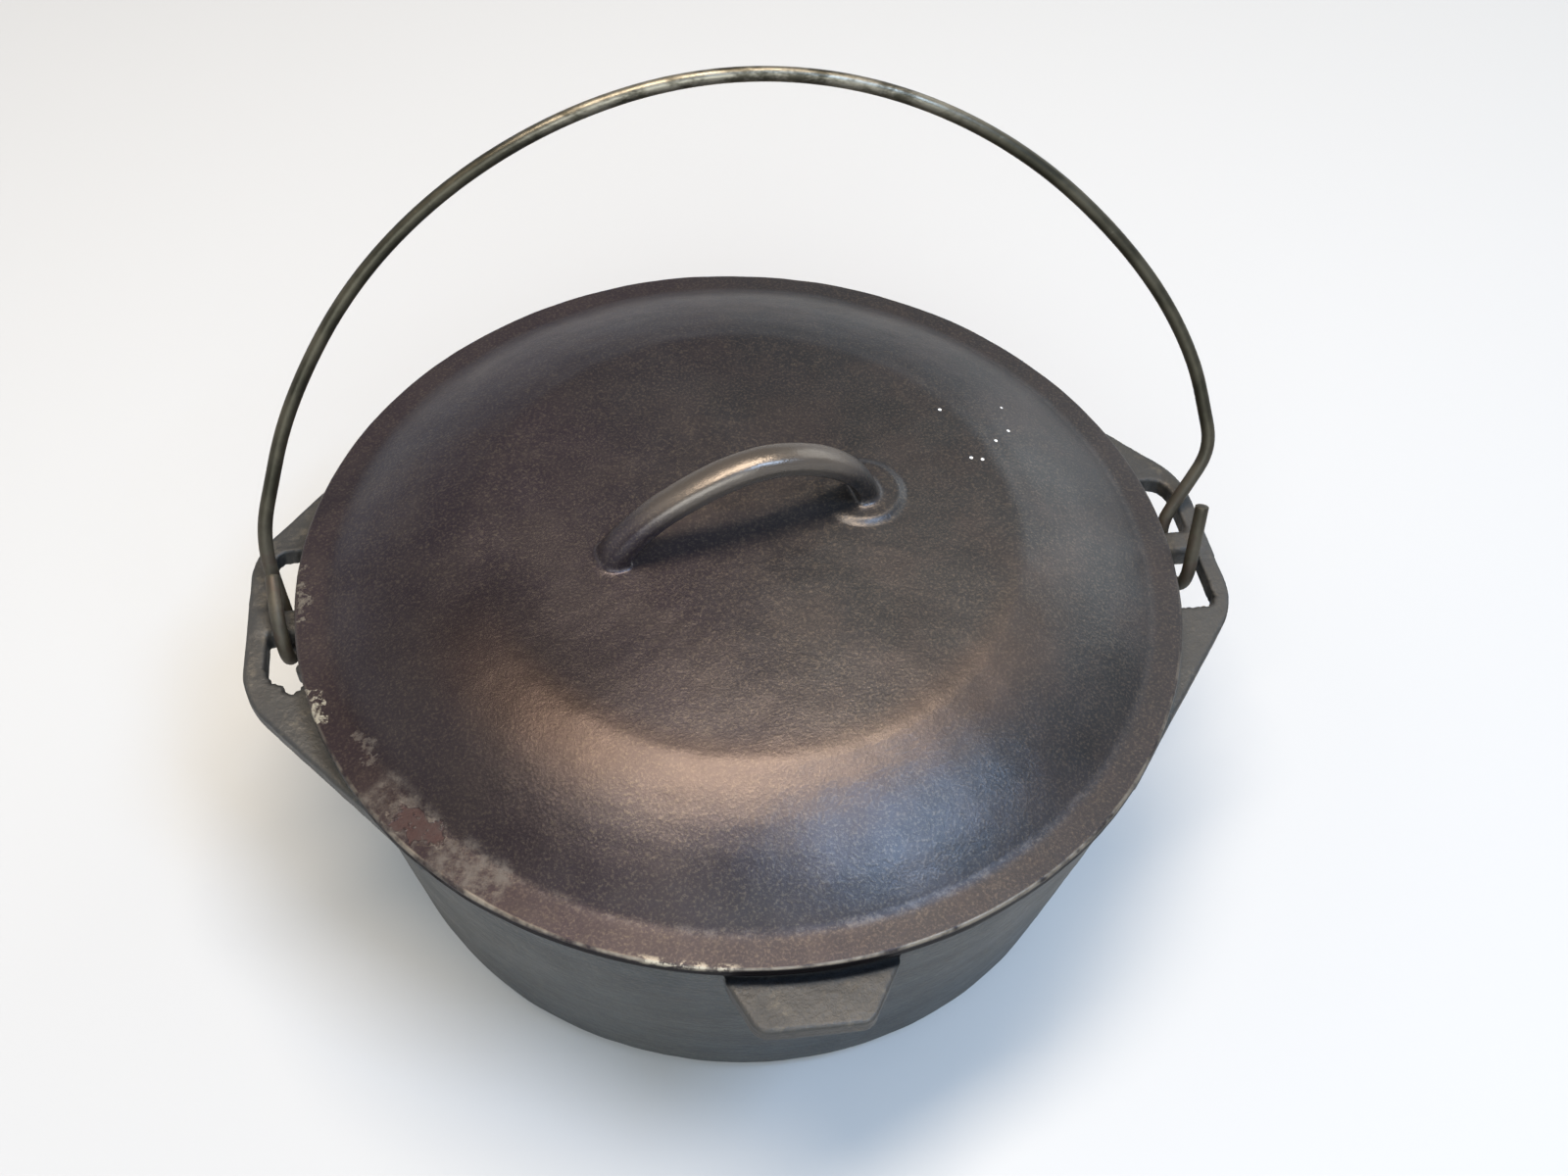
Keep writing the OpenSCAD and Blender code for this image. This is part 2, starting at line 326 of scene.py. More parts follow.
def ear_outlines(side):
    """Outlines of one ear's plate and of its opening, seen from above with the ear to the right."""
    half, corner = 26.0, 27.0
    turn = math.acos(RIM_R / math.hypot(EAR_REACH, half)) + math.atan(half / EAR_REACH)
    foot = (RIM_R * math.cos(turn), RIM_R * math.sin(turn))
    plate = rounded(
        [(foot[0] - 9, -foot[1]), (foot[0], -foot[1]), (EAR_REACH, -half), (EAR_REACH, half), foot,
         (foot[0] - 9, foot[1])],
        [0, 0, corner, corner, 0, 0])
    if side > 0:
        opening = rounded(
            [(SLOT_IN, -SLOT_END), (SLOT_OUT, -SLOT_END), (SLOT_OUT, SLOT_END), (SLOT_IN, SLOT_END)],
            [0, 4, 6, 0])
    else:
        # the front end of the left opening was never cleaned up: it tapers to a ragged tip
        opening = rounded(
            [(SLOT_IN, SLOT_END), (SLOT_IN, -22), (129.4, -23.4), (131.6, -26.6), (134, -25.6), (135.4, -23),
             (138.8, -21.6), (SLOT_OUT, -17), (SLOT_OUT, SLOT_END)],
            [0, 0, 0.8, 0.9, 0.6, 0.5, 1.4, 3, 5])
    return foot[1], plate, opening


def ear_distance(side):
    """Distance from one ear with its opening and bridge, flowing into the wall. side is 1 right, -1 left."""
    half_foot, plate, opening = ear_outlines(side)

    def distance(p):
        x, y, z = p[:, 0] * side, p[:, 1], p[:, 2]
        flat = np.stack([x, y], 1)
        ear = slab(outline_distance(plate, flat), z, LUG_TOP - LUG_T, LUG_TOP, 0.9)
        hole = outline_distance(opening, flat)
        # flash and sand scabs at the ends of the openings, most of all at the front of the left ear
        scab = 0.34 if side < 0 else 0.16
        ends = np.clip((np.abs(y) - 15) / 6, 0, 1) * np.where(y < 0, 1, 0.5)
        waves = np.sin(2.7 * x + 1.1 * y + 0.3 * z) + np.sin(1.3 * x - 3.1 * y + 0.5 * z + 2)
        hole = hole + scab * ends * waves
        if side < 0:
            # a fin of flash stands into the left opening from the wall
            fin = np.hypot(x - 129.3, (y + 17.6) * 1.15) - 2.5
            hole = blend_max(hole, -fin, 0.8)
        ear = blend_max(ear, -hole, 1.0)
        # bridge: a deep bar with rounded edges, flush with the ear on top
        half_w, half_l, depth = 4.5, 11.5, 8.2
        bar = slab(np.abs(y) - half_w, z, LUG_TOP - depth, LUG_TOP - 0.05, 2.2)
        bar = np.maximum(bar, np.abs(x - BRIDGE_X) - half_l)
        ear = blend_min(ear, bar, 2.2)
        ear = blend_min(ear, wall_distance(p), 3.2)
        # only what is needed stays: outside the root in the wall, between the feet and near the plate
        ear = np.maximum(ear, wall_r(LUG_TOP) - ROOT - np.hypot(p[:, 0], p[:, 1]))
        reach = np.maximum(np.abs(y) - half_foot - 8, np.abs(z - LUG_TOP + 3.2) - 7.4)
        return np.maximum(ear, reach)

    return distance


def tab_distance(p):
    """Distance from the tab at the front of the pot, flowing into the wall.

    Its left corner is cut back by about 1 mm, and its right side leans more than its left one."""
    base, left, right, cut_back, shift = 22.2, 15.8, 12.6, 0.9, 1.0
    plate = rounded(
        [(-base, -RIM_R + 5), (-base, -RIM_R + 0.4), (-left, -TAB_REACH + cut_back), (right, -TAB_REACH),
         (base, -RIM_R + 0.4), (base, -RIM_R + 5)],
        [0, 0, 5.5, 5, 0, 0])
    x, y, z = p[:, 0] + shift, p[:, 1], p[:, 2]
    tab = slab(outline_distance(plate, np.stack([x, y], 1)), z, TAB_TOP - LUG_T + 0.4, TAB_TOP - 0.1, 0.8)
    tab = blend_min(tab, wall_distance(p), 1.2)
    tab = np.maximum(tab, wall_r(LUG_TOP) - ROOT - np.hypot(p[:, 0], p[:, 1]))
    return np.maximum(tab, np.maximum(np.abs(x) - base - 7, np.abs(z - TAB_TOP + 4.2) - 6.2))


pot = lathe("pot_casting", pot_profile(), 360)
# the spaces in which the ears and the tab are meshed
ear_x, ear_y, tab_x, tab_y = (82, 148), 98, 34, (-145, -114)
lug_z = (LUG_TOP - 12, LUG_TOP + 6)
ears = [
    surface_mesh(f"ear_{side}", ear_distance(side), (min(side * x for x in ear_x), -ear_y, lug_z[0]),
                 (max(side * x for x in ear_x), ear_y, lug_z[1]), LUG_STEP)
    for side in (1, -1)
]
tab = surface_mesh("tab", tab_distance, (-tab_x, tab_y[0], lug_z[0]), (tab_x, tab_y[1], lug_z[1]), LUG_STEP)
unite(pot, *ears, tab)


def pot_hold(x, y, z):
    """Full roughness on the pot, and little on its base, on the seat of the lid and on the bridges."""
    if z < 7:
        return 0.35 + 0.65 * max(0, z - 1) / 6
    if z > POT_H - 1.2:
        return 0.25
    if abs(y) < 7 and abs(x) > BRIDGE_X - 5 and z > LUG_TOP - 12:
        return 0.3
    return 1.0


roughen(pot, [(0.30, 34, 3), (0.16, 11, 40), (0.10, 4.5, 77)], pot_hold)


# ---------------------------------------------------------------- the lid
def lid_top_z(r):
    """Height of the lid's upper face inside the shoulder: a very shallow dome."""
    return CROWN_Z - TOP_FALL * (r / SHOULDER_R) ** 2


def lid_profile():
    play, t = 1.4, 4.0               # play of the lip in the rim, and thickness of the dome
    edge_top = POT_H + LID_EDGE
    lip = RIM_R - WALL - play
    top = [(r, lid_top_z(r)) for r in np.linspace(0, SHOULDER_R - 4, 30)]
    under = [(r, z - t) for r, z in top[::3]]
    side = [
        (SHOULDER_R, lid_top_z(SHOULDER_R)), (FLANK_R, FLANK_Z), (CREASE_R - 1.5, CREASE_Z),
        (LID_R, edge_top), (LID_R, POT_H), (lip, POT_H), (lip - 2.6, LIP_Z + 0.05), (lip - 6, LIP_Z + 0.05),
        (CREASE_R - 5, POT_H + 0.3), (FLANK_R - 1, FLANK_Z - t - 0.5)]
    side_radii = [22, 112, 9, 1.0, 1.2, 0.5, 1.1, 1.15, 9, 60]
    outline = rounded(
        (top + side + under[::-1])[::-1],
        ([0] * len(top) + side_radii + [0] * len(under))[::-1], line_step=2.2)
    last = next(i for i, p in enumerate(outline) if i > 10 and p[0] == 0)
    return outline[: last + 1]


# half length and height of the handle's line, power of its rounded form, lean of its crest and shift
HANDLE_L, HANDLE_H, HANDLE_P, HANDLE_SKEW, HANDLE_SHIFT = 40.0, 25.0, 1.68, 5.5, -2.0
HANDLE_W, HANDLE_T = 10.4, 6.2   # width and thickness of its bar
BOSS_R, BOSS_H = 11.2, 0.6       # radius and height of the boss at its right foot


def handle_line():
    """Middle line of the handle in its own upright plane, as points (along it, height)."""
    foot = HANDLE_TOP - HANDLE_T / 2 - HANDLE_H
    th = np.linspace(-0.12, math.pi + 0.12, 120)
    c, s = np.cos(th), np.sin(th)
    along = -np.sign(c) * np.abs(c) ** (2 / HANDLE_P) * HANDLE_L
    up = np.sign(s) * np.abs(s) ** (2 / HANDLE_P) * HANDLE_H
    line = np.stack([along + HANDLE_SKEW * up / HANDLE_H + HANDLE_SHIFT, foot + up], 1)
    for _ in range(150):
        line[1:-1] = 0.5 * line[1:-1] + 0.25 * (line[:-2] + line[2:])
    line[:, 1] = foot + (line[:, 1] - foot) * HANDLE_H / (line[:, 1].max() - foot)
    return line


def handle_distance(p):
    """Distance from the loop handle with the boss at its right foot, flowing into the top of the lid."""
    line = handle_line()
    c, s = math.cos(HANDLE_TURN), math.sin(HANDLE_TURN)
    u, w, z = p[:, 0] * c + p[:, 1] * s, -p[:, 0] * s + p[:, 1] * c, p[:, 2]
    flat = np.stack([u, z], 1)
    best = np.full(len(p), 1e18)
    across = np.zeros(len(p))
    for a, b in zip(line[:-1], line[1:]):
        ab = b - a
        size = ab @ ab
        if size < 1e-10:
            continue
        t = np.clip((flat - a) @ ab / size, 0, 1)
        gap = flat - a - t[:, None] * ab
        d2 = np.einsum("ij,ij->i", gap, gap)
        nearer = d2 < best
        best = np.where(nearer, d2, best)
        side = (ab[0] * gap[:, 1] - ab[1] * gap[:, 0]) / math.sqrt(size)
        across = np.where(nearer, np.copysign(np.sqrt(d2), side), across)
    # rounded on top, flatter with tighter edges below; the bar swells a little towards its feet
    foot_swell = np.clip((CROWN_Z + 9 - z) / 10, 0, 1)
    half_w = HANDLE_W / 2 + 0.5 * foot_swell
    half_t = HANDLE_T / 2 + 0.5 * foot_swell
    edge = np.where(across > 0, 2.2, 1.1)
    dx = np.abs(w) - half_w + edge
    dome = np.where(across > 0, 1.7 * np.minimum(np.abs(w) / half_w, 1) ** 2, 0)
    dy = np.abs(across) - half_t + edge + dome
    bar = np.minimum(np.maximum(dx, dy), 0) + np.hypot(np.maximum(dx, 0), np.maximum(dy, 0)) - edge
    r = np.hypot(p[:, 0], p[:, 1])
    # a low boss round the right foot, raised on its outer side only
    right_foot = line[-8][0]
    from_foot = u - right_foot
    rise = BOSS_H * np.clip((from_foot - w + 6) / 14, 0, 1)
    boss = slab(np.hypot(from_foot + 1.0, w) - BOSS_R, z, CROWN_Z - 4, lid_top_z(HANDLE_L) + rise, 0.5)
    # further out the mesh sinks below the lid's own surface, so that no seam shows round it
    away = np.clip((np.minimum(bar, boss) - 4) / 9, 0, 1)
    top = z - lid_top_z(r) + 0.04 + 1.2 * away * away * (3 - 2 * away)
    out = blend_min(blend_min(bar, top, 1.5), boss, 3.4)
    return np.maximum(out, np.maximum(np.minimum(bar, boss) - 16, CROWN_Z - 3.6 - z))


lid = lathe("lid_casting", lid_profile(), 360)
handle = surface_mesh(
    "handle", handle_distance, (-66, -36, CROWN_Z - 5), (66, 36, HANDLE_TOP + 2), HANDLE_STEP)
unite(lid, handle)


def lid_hold(x, y, z):
    """Little roughness on the underside that seats on the rim."""
    return 0.25 if z < POT_H + 0.6 and math.hypot(x, y) > 116 else 1.0


roughen(lid, [(0.34, 42, 11), (0.12, 13, 60), (0.07, 4.5, 91)], lid_hold)
lid.data.transform(Matrix.Translation((LID_X * MM, 0, 0)))


# ---------------------------------------------------------------- the bail
def rounded_path(points, radii, step):
    """Points along a path in space whose corners are rounded with arcs."""
    points = [np.array(p, float) for p in points]
    out = [points[0]]
    for i in range(1, len(points) - 1):
        a, b = points[i] - points[i - 1], points[i + 1] - points[i]
        a /= np.linalg.norm(a)
        b /= np.linalg.norm(b)
        turn = math.acos(np.clip(a @ b, -1, 1))
        r = radii[i]
        start = points[i] - a * r * math.tan(turn / 2)
        inward = b - a * (a @ b)
        inward /= np.linalg.norm(inward)
        steps = max(2, int(r * turn / step))
        for k in range(steps + 1):
            t = turn * k / steps
            out.append(start + inward * r * (1 - math.cos(t)) + a * r * math.sin(t))
    out.append(points[-1])
    return out


def even(points, step):
    """The same path with its points at even distances."""
    points = np.array(points)
    length = np.concatenate([[0], np.cumsum(np.linalg.norm(np.diff(points, axis=0), axis=1))])
    at = np.linspace(0, length[-1], int(length[-1] / step) + 1)
    return np.stack([np.interp(at, length, points[:, c]) for c in range(3)], 1)


def bail_path():
    """The wire's middle line from the right tip over the top to the left tip, leaning as the bail rests.

    It is drawn upright first: x to the right, y to the back and z up from the hinge."""
    # how far the arc stands behind the hinge, right of the middle and above the hinge, and its radius
    gap, shift, lift, radius = 8.0, 6.0, 0.5, 146.5
    # a bail bent by hand is never a perfect arc: by angle, how far it stands outside the circle
    bulge = [(15, 0.0), (23, 0.8), (48, -0.9), (87, 0.03), (118, -1.0), (146, -0.3), (160, 0.2)]
    angle = np.linspace(15, 160, 160)
    at = np.interp(angle, [a for a, _ in bulge], np.arange(len(bulge)))
    whole = np.minimum(at.astype(int), len(bulge) - 2)
    ease = (1 - np.cos((at - whole) * math.pi)) / 2
    out = np.array([b for _, b in bulge])
    r = radius + out[whole] * (1 - ease) + out[whole + 1] * ease
    t = np.radians(angle)
    arc = list(np.stack([shift + r * np.cos(t), np.full(len(t), gap), lift + r * np.sin(t)], 1))
    right = rounded_path(
        [(137.5, -15.1, 18.6), (134.6, -13, -9.4), (134.6, gap, -9.5), (135, gap, 6.5), (149.9, gap, 29.5),
         arc[0]],
        [0, 8, 7.5, 12, 16, 0], 1.0)
    left = rounded_path(
        [arc[-1], (-140.6, gap, 25), (-135.3, gap, -8.5), (-135.2, -9.4, -8.5), (-136.4, -7.4, 7),
         (-137.5, 0.5, 16)],
        [0, 45, 7, 7, 9, 0], 1.0)
    path = even(right + arc[1:-1] + left, 1.3)
    for _ in range(4):
        path[1:-1] = 0.5 * path[1:-1] + 0.25 * (path[:-2] + path[2:])
    c, s = math.cos(BAIL_LEAN), math.sin(BAIL_LEAN)
    x, y, z = path.T
    return np.stack([x, y * c + z * s, PIVOT_Z - y * s + z * c], 1)


def wire(name, path, radius, sides):
    """Closed round wire along a path, with slightly broken edges at its cut ends."""
    tangents = np.gradient(path, axis=0)
    tangents /= np.linalg.norm(tangents, axis=1)[:, None]
    up = np.cross(tangents[0], [0.3, 0.2, 1])
    up /= np.linalg.norm(up)
    swell = 0.012
    cap_steps = ((1.0, 0.0), (0.97, 0.16), (0.88, 0.26), (0.5, 0.3))    # share of the radius, mm past the end
    cap_l = cap_steps[-1][1]
    round_turn = np.linspace(0, 2 * math.pi, sides, endpoint=False)

    def cap(ring, centre, direction):
        return [centre + (ring - centre) * share + direction * past for share, past in cap_steps]

    rings = []
    for i, (p, t) in enumerate(zip(path, tangents)):
        up = up - t * (up @ t)
        up /= np.linalg.norm(up)
        side = np.cross(t, up)
        # faint flats and swells that drawing and bending leave
        uneven = [noise.noise(Vector((i * 0.05, math.cos(a), math.sin(a)))) for a in round_turn]
        r = radius * (1 + swell * np.array(uneven))
        rings.append(p + np.outer(np.cos(round_turn) * r, up) + np.outer(np.sin(round_turn) * r, side))
    first = cap(rings[0], path[0], -tangents[0])[::-1]
    last = cap(rings[-1], path[-1], tangents[-1])
    rings = first + rings[1:-1] + last
    verts = np.concatenate(rings + [[path[0] - tangents[0] * cap_l], [path[-1] + tangents[-1] * cap_l]])
    faces = []
    for i in range(len(rings) - 1):
        for j in range(sides):
            k = (j + 1) % sides
            faces.append((i * sides + j, i * sides + k, (i + 1) * sides + k, (i + 1) * sides + j))
    n, m = len(rings) * sides, (len(rings) - 1) * sides
    for j in range(sides):
        k = (j + 1) % sides
        faces.append((n, k, j))
        faces.append((n + 1, m + j, m + k))
    return new_object(name, verts, faces)


bail = wire("bail_wire", bail_path(), WIRE_R, 28)


# ---------------------------------------------------------------- materials
class Nodes:
    """Short names for building a material out of nodes."""

    def __init__(self, name, centre_x=0.0):
        self.material = bpy.data.materials.new(name)
        self.material.use_nodes = True
        self.tree = self.material.node_tree
        self.shader = self.tree.nodes["Principled BSDF"]
        self.place = self.tree.nodes.new("ShaderNodeTexCoord").outputs["Object"]
        if centre_x:
            self.place = self.vector("SUBTRACT", self.place, (centre_x * MM, 0, 0))

    def link(self, value, socket):
        if isinstance(value, bpy.types.NodeSocket):
            self.tree.links.new(value, socket)
        else:
            socket.default_value = value

    def math(self, kind, a, b=0.0, c=None, clamp=False):
        node = self.tree.nodes.new("ShaderNodeMath")
        node.operation, node.use_clamp = kind, clamp
        self.link(a, node.inputs[0])
        self.link(b, node.inputs[1])
        if c is not None:
            self.link(c, node.inputs[2])
        return node.outputs[0]

    def vector(self, kind, a, b=(0, 0, 0)):
        node = self.tree.nodes.new("ShaderNodeVectorMath")
        node.operation = kind
        self.link(a, node.inputs[0])
        self.link(b, node.inputs[1])
        return node.outputs["Value" if kind in ("LENGTH", "DISTANCE", "DOT_PRODUCT") else 0]

    def noise(self, size_mm, detail=3.0, rough=0.55, stretch=(1, 1, 1), offset=0.0):
        """Noise from about 0.2 to 0.8 with features of size_mm, longer along the axes with a low stretch."""
        moved = self.vector("MULTIPLY_ADD", self.place)
        node = moved.node
        self.link(stretch, node.inputs[1])
        self.link((offset, offset * 0.7, -offset), node.inputs[2])
        tex = self.tree.nodes.new("ShaderNodeTexNoise")
        self.link(moved, tex.inputs["Vector"])
        self.link(1 / (size_mm * MM), tex.inputs["Scale"])
        self.link(detail, tex.inputs["Detail"])
        self.link(rough, tex.inputs["Roughness"])
        return tex.outputs["Fac"]

    def ramp(self, value, low, high, to_low=0.0, to_high=1.0):
        """Smooth step from to_low at value low to to_high at value high."""
        node = self.tree.nodes.new("ShaderNodeMapRange")
        node.interpolation_type = "SMOOTHSTEP"
        for socket, v in zip(node.inputs, (value, low, high, to_low, to_high)):
            self.link(v, socket)
        return node.outputs[0]

    def mix(self, factor, a, b):
        node = self.tree.nodes.new("ShaderNodeMix")
        node.data_type = "RGBA"
        self.link(factor, node.inputs[0])
        for v, socket in ((a, node.inputs[6]), (b, node.inputs[7])):
            self.link(v if isinstance(v, bpy.types.NodeSocket) else (*v, 1), socket)
        return node.outputs[2]

    def spot(self, centre_mm, radius_mm, ragged=0.0, ragged_mm=4.0, stretch=(1, 1, 1), turn=0.0):
        """1 inside a blot with a ragged border round a place. turn, in radians, turns the stretch."""
        away = self.vector("SUBTRACT", self.place, tuple(c * MM for c in centre_mm))
        if turn:
            node = self.tree.nodes.new("ShaderNodeVectorRotate")
            node.rotation_type = "Z_AXIS"
            self.link(away, node.inputs["Vector"])
            self.link(-turn, node.inputs["Angle"])
            away = node.outputs[0]
        away = self.vector("MULTIPLY", away, stretch)
        d = self.vector("LENGTH", away)
        if ragged:
            border = self.math("SUBTRACT", self.noise(ragged_mm, 3.0), 0.5)
            d = self.math("MULTIPLY_ADD", border, -2 * ragged * MM, d)
        return self.ramp(d, radius_mm * MM, radius_mm * MM * 0.75)

    def bump(self, layers):
        """Bump from (height, depth in mm) pairs, added up."""
        height = None
        for value, depth in layers:
            h = self.math("MULTIPLY", value, depth * MM)
            height = h if height is None else self.math("ADD", height, h)
        node = self.tree.nodes.new("ShaderNodeBump")
        self.link(height, node.inputs["Height"])
        self.link(1.0, node.inputs["Distance"])
        self.link(1.0, node.inputs["Strength"])
        self.link(node.outputs[0], self.shader.inputs["Normal"])

    def use(self, obj):
        obj.data.materials.clear()
        obj.data.materials.append(self.material)


def coordinates(m):
    """Sockets with x, y, z and the distance from the axis, in metres."""
    split = m.tree.nodes.new("ShaderNodeSeparateXYZ")
    m.link(m.place, split.inputs[0])
    x, y, z = split.outputs
    flat = m.math("SQRT", m.math("ADD", m.math("MULTIPLY", x, x), m.math("MULTIPLY", y, y)))
    return x, y, z, flat


def most(m, values):
    """The greatest of several values."""
    out = values[0]
    for value in values[1:]:
        out = m.math("MAXIMUM", out, value)
    return out


def seasoning(m, x, y, grain, coarse, r):
    """Colour of the seasoned iron, and how much of the painted shade at the front left is at a place."""
    mottle = m.noise(19, 4.0, 0.6, offset=0.12)
    # purple-brown on the left, more olive on the right and at the back
    drift = m.math("SUBTRACT", m.noise(60, 3.0, offset=0.31), 0.5)
    side = m.math("ADD", m.ramp(x, -0.09, 0.09, -0.5, 0.5), drift)
    colour = m.mix(m.ramp(side, -0.45, 0.4), (0.026, 0.017, 0.022), (0.024, 0.023, 0.024))
    colour = m.mix(m.ramp(mottle, 0.40, 0.70, 0.0, 0.45), colour, (0.050, 0.037, 0.034))
    colour = m.mix(m.ramp(grain, 0.46, 0.74, 0.0, 0.65), colour, (0.118, 0.092, 0.068))
    colour = m.mix(m.ramp(coarse, 0.54, 0.72, 0.0, 0.20), colour, (0.070, 0.054, 0.043))
    # painted shade darkens the flank at the front left, and a coppery painted highlight lies round the
    # shoulder at the front
    away = m.vector("DISTANCE", m.place, (-0.082, -0.052, 0.108))
    away = m.math("MULTIPLY_ADD", m.math("SUBTRACT", m.noise(30, 3.0, offset=0.44), 0.5), -0.04, away)
    shade = m.ramp(away, 0.070, 0.020)
    colour = m.mix(m.math("MULTIPLY", shade, 0.5), colour, (0.013, 0.010, 0.010))
    painted_shoulder_highlight = m.math("MULTIPLY", m.ramp(r, 0.070, 0.080), m.ramp(r, 0.104, 0.084))
    painted_shoulder_highlight = m.math("MULTIPLY", painted_shoulder_highlight, m.ramp(y, -0.01, -0.06, 0.0, 0.32))
    return m.mix(painted_shoulder_highlight, colour, (0.085, 0.048, 0.028)), shade


def crease_wear_and_highlight(m, colour, y, r):
    """The rise of the flange is rubbed pale, partly as a painted highlight that grows towards the front."""
    crease = m.math("MULTIPLY", m.ramp(r, 0.1185, 0.1200), m.ramp(r, 0.1222, 0.1207))
    crease = m.math("MULTIPLY", crease, m.ramp(m.noise(3.5, 4.0, 0.7, offset=0.2), 0.46, 0.64))
    crease = m.math("MULTIPLY", crease, m.ramp(y, -0.06, -0.115, 0.05, 0.22))
    return m.mix(crease, colour, (0.20, 0.17, 0.15))


def scale_and_rust(m, colour, r):
    """Tan scale along the flange at the front left, with a reddish bare patch in it, and pale scuffs."""
    scale = m.math("MAXIMUM", m.spot((-100, -75, 99), 14, 5, 6), m.spot((-83, -93, 99), 13, 5, 5))
    scale = m.math("MULTIPLY", scale, m.ramp(m.noise(4, 4.0, 0.7, offset=0.9), 0.34, 0.70))
    scale = m.math("MULTIPLY", scale, m.ramp(r, 0.1165, 0.1200))
    flecks = most(m, [m.spot(place, size, 4.0, 2.0, (1, 1, 0.3)) for place, size in FLECKS])
    flecks = m.math("MULTIPLY", flecks, m.ramp(m.noise(2.2, 4.0, 0.7, offset=0.33), 0.40, 0.58))
    scale = m.math("MAXIMUM", scale, m.math("MULTIPLY", flecks, 0.7))
    colour = m.mix(m.math("MULTIPLY", scale, 0.50), colour, (0.150, 0.130, 0.108))
    # the bare patch is long and has a pale rim
    along = math.radians(-50)
    rust = m.spot(RUST_PATCH, 3.9, 8, 6, (0.52, 1, 0.5), along)
    rust = m.math("MULTIPLY", rust, m.ramp(m.noise(2.5, 3.0, 0.6, offset=0.75), 0.30, 0.42))
    colour = m.mix(m.math("MULTIPLY", rust, 0.8), colour, (0.052, 0.032, 0.030))
    rim = m.math("SUBTRACT", m.spot(RUST_PATCH, 4.7, 8, 6, (0.52, 1, 0.5), along), rust, clamp=True)
    rim = m.math("MULTIPLY", rim, m.ramp(m.noise(3, 3.0, 0.6, offset=0.15), 0.44, 0.60, 0.0, 0.45))
    colour = m.mix(rim, colour, (0.20, 0.17, 0.14))
    # pale scuffs on the edge beside the left ear
    scuff = m.spot((-122.0, -37.9, 99), 2.1, 5, 2.5, (1, 0.42, 0.4), math.radians(17))
    faint = m.math("MULTIPLY", m.spot((-127.2, -2, 99), 1.8, 5, 2.5, (1, 0.22, 0.4)), 0.4)
    scuff = m.math("MAXIMUM", scuff, faint)
    scuff = m.math("MULTIPLY", scuff, m.ramp(m.noise(1.8, 4.0, 0.7, offset=0.4), 0.38, 0.58))
    return m.mix(m.math("MULTIPLY", scuff, 0.7), colour, (0.34, 0.31, 0.24)), scale, rust, scuff


def worn_edge_and_painted_shade(m, colour, y, z, r):
    """Bare metal along the outer edge, and painted shade, near black, on its upright face."""
    # a thin line, with bright chips a little left of the tab
    edge = m.math("MULTIPLY", m.ramp(r, 0.1287, 0.1293), m.ramp(z, 0.0982, 0.0988))
    rubbed = m.ramp(m.noise(9, 3.0, 0.7, offset=0.5), 0.35, 0.6)
    faint = m.math("MULTIPLY", m.ramp(y, -0.02, -0.11, 0.05, 0.4), rubbed)
    chipped = m.ramp(m.noise(2.4, 4.0, 0.7, offset=0.1), 0.42, 0.56)
    chips = m.math("MULTIPLY", m.spot((-32, -125.5, 99), 14, 5, 6), chipped)
    worn = m.math("MULTIPLY", edge, m.math("MAXIMUM", faint, chips))
    colour = m.mix(worn, colour, (0.46, 0.40, 0.31))
    # painted shade makes the upright edge face and what lies under it near black
    face = m.math("MULTIPLY", m.ramp(r, 0.1270, 0.1285), m.ramp(z, 0.0984, 0.0978))
    colour = m.mix(m.math("MULTIPLY", face, 0.9), colour, (0.006, 0.005, 0.006))
    wide = m.math("MULTIPLY", m.ramp(r, 0.1276, 0.1288), m.ramp(z, 0.0972, 0.0982))
    wide = m.math("MULTIPLY", chips, wide)
    return m.mix(m.math("MULTIPLY", wide, 0.55), colour, (0.36, 0.32, 0.25)), face


